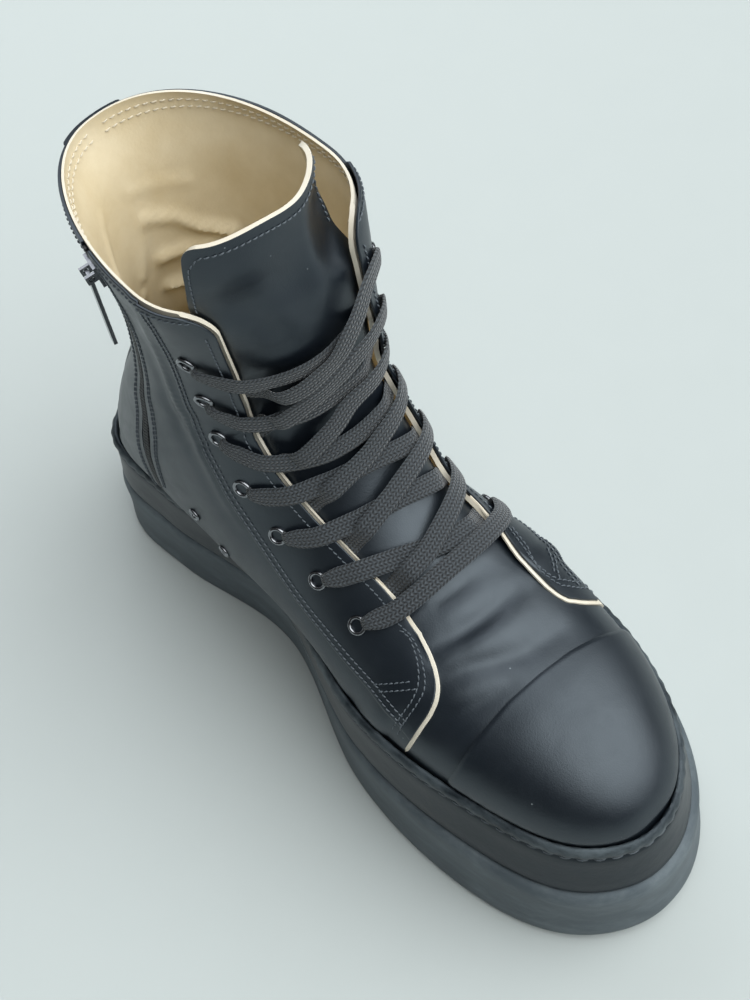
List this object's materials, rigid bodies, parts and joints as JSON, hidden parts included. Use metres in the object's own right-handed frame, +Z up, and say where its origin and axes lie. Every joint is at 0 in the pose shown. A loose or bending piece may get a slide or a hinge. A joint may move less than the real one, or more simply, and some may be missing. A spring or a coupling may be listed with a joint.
{
  "type": "platform boot",
  "caption": "Left ankle boot in smooth leather on a tall two-band rubber platform, laced in front over a high tongue, with an inner side zip.",
  "frame": {"origin": "on the ground plane, under the middle of the sole's box", "axes": "+X to the toe, +Y to the outer side of the left foot, +Z up"},
  "size_m": [0.316, 0.1212, 0.2585],
  "materials": {
    "leather": "smooth, slightly waxed",
    "sole_rubber": "matte, faintly dusty",
    "tread_rubber": "matte, worn",
    "lining": "undyed, matte",
    "lace": "flat woven",
    "zip_tape": "coil zip",
    "metal": "black nickel, satin"
  },
  "bodies": {
    "boot": {"upper": "leather", "toe_cap": "leather", "eyestay_medial": "leather", "eyestay_lateral": "leather", "heel_strip": "leather", "tongue": "leather", "platform": "sole_rubber", "foxing": "sole_rubber", "outsole": "tread_rubber", "insole": "lining", "lace_bar": "lace", "lace_cross_1": "lace", "lace_cross_2": "lace", "lace_cross_3": "lace", "lace_cross_4": "lace", "lace_cross_5": "lace", "lace_cross_6": "lace", "zip_chain": "zip_tape", "zip_slider": "metal", "vent_1": "metal", "vent_2": "metal", "eyelet_medial_1": "metal", "eyelet_medial_2": "metal", "eyelet_medial_3": "metal", "eyelet_medial_4": "metal", "eyelet_medial_5": "metal", "eyelet_medial_6": "metal", "eyelet_medial_7": "metal", "eyelet_lateral_1": "metal", "eyelet_lateral_2": "metal", "eyelet_lateral_3": "metal", "eyelet_lateral_4": "metal", "eyelet_lateral_5": "metal", "eyelet_lateral_6": "metal", "eyelet_lateral_7": "metal"},
    "pull_tab": {"zip_pull": "metal"}
  },
  "joints": [
    {"name": "pull_swing", "type": "hinge", "parent": "boot", "child": "pull_tab", "pos_m": [-0.09726, -0.03057, 0.2136], "axis": [-0.9674, 0.2531, 0], "range_deg": [0, 130]}
  ]
}
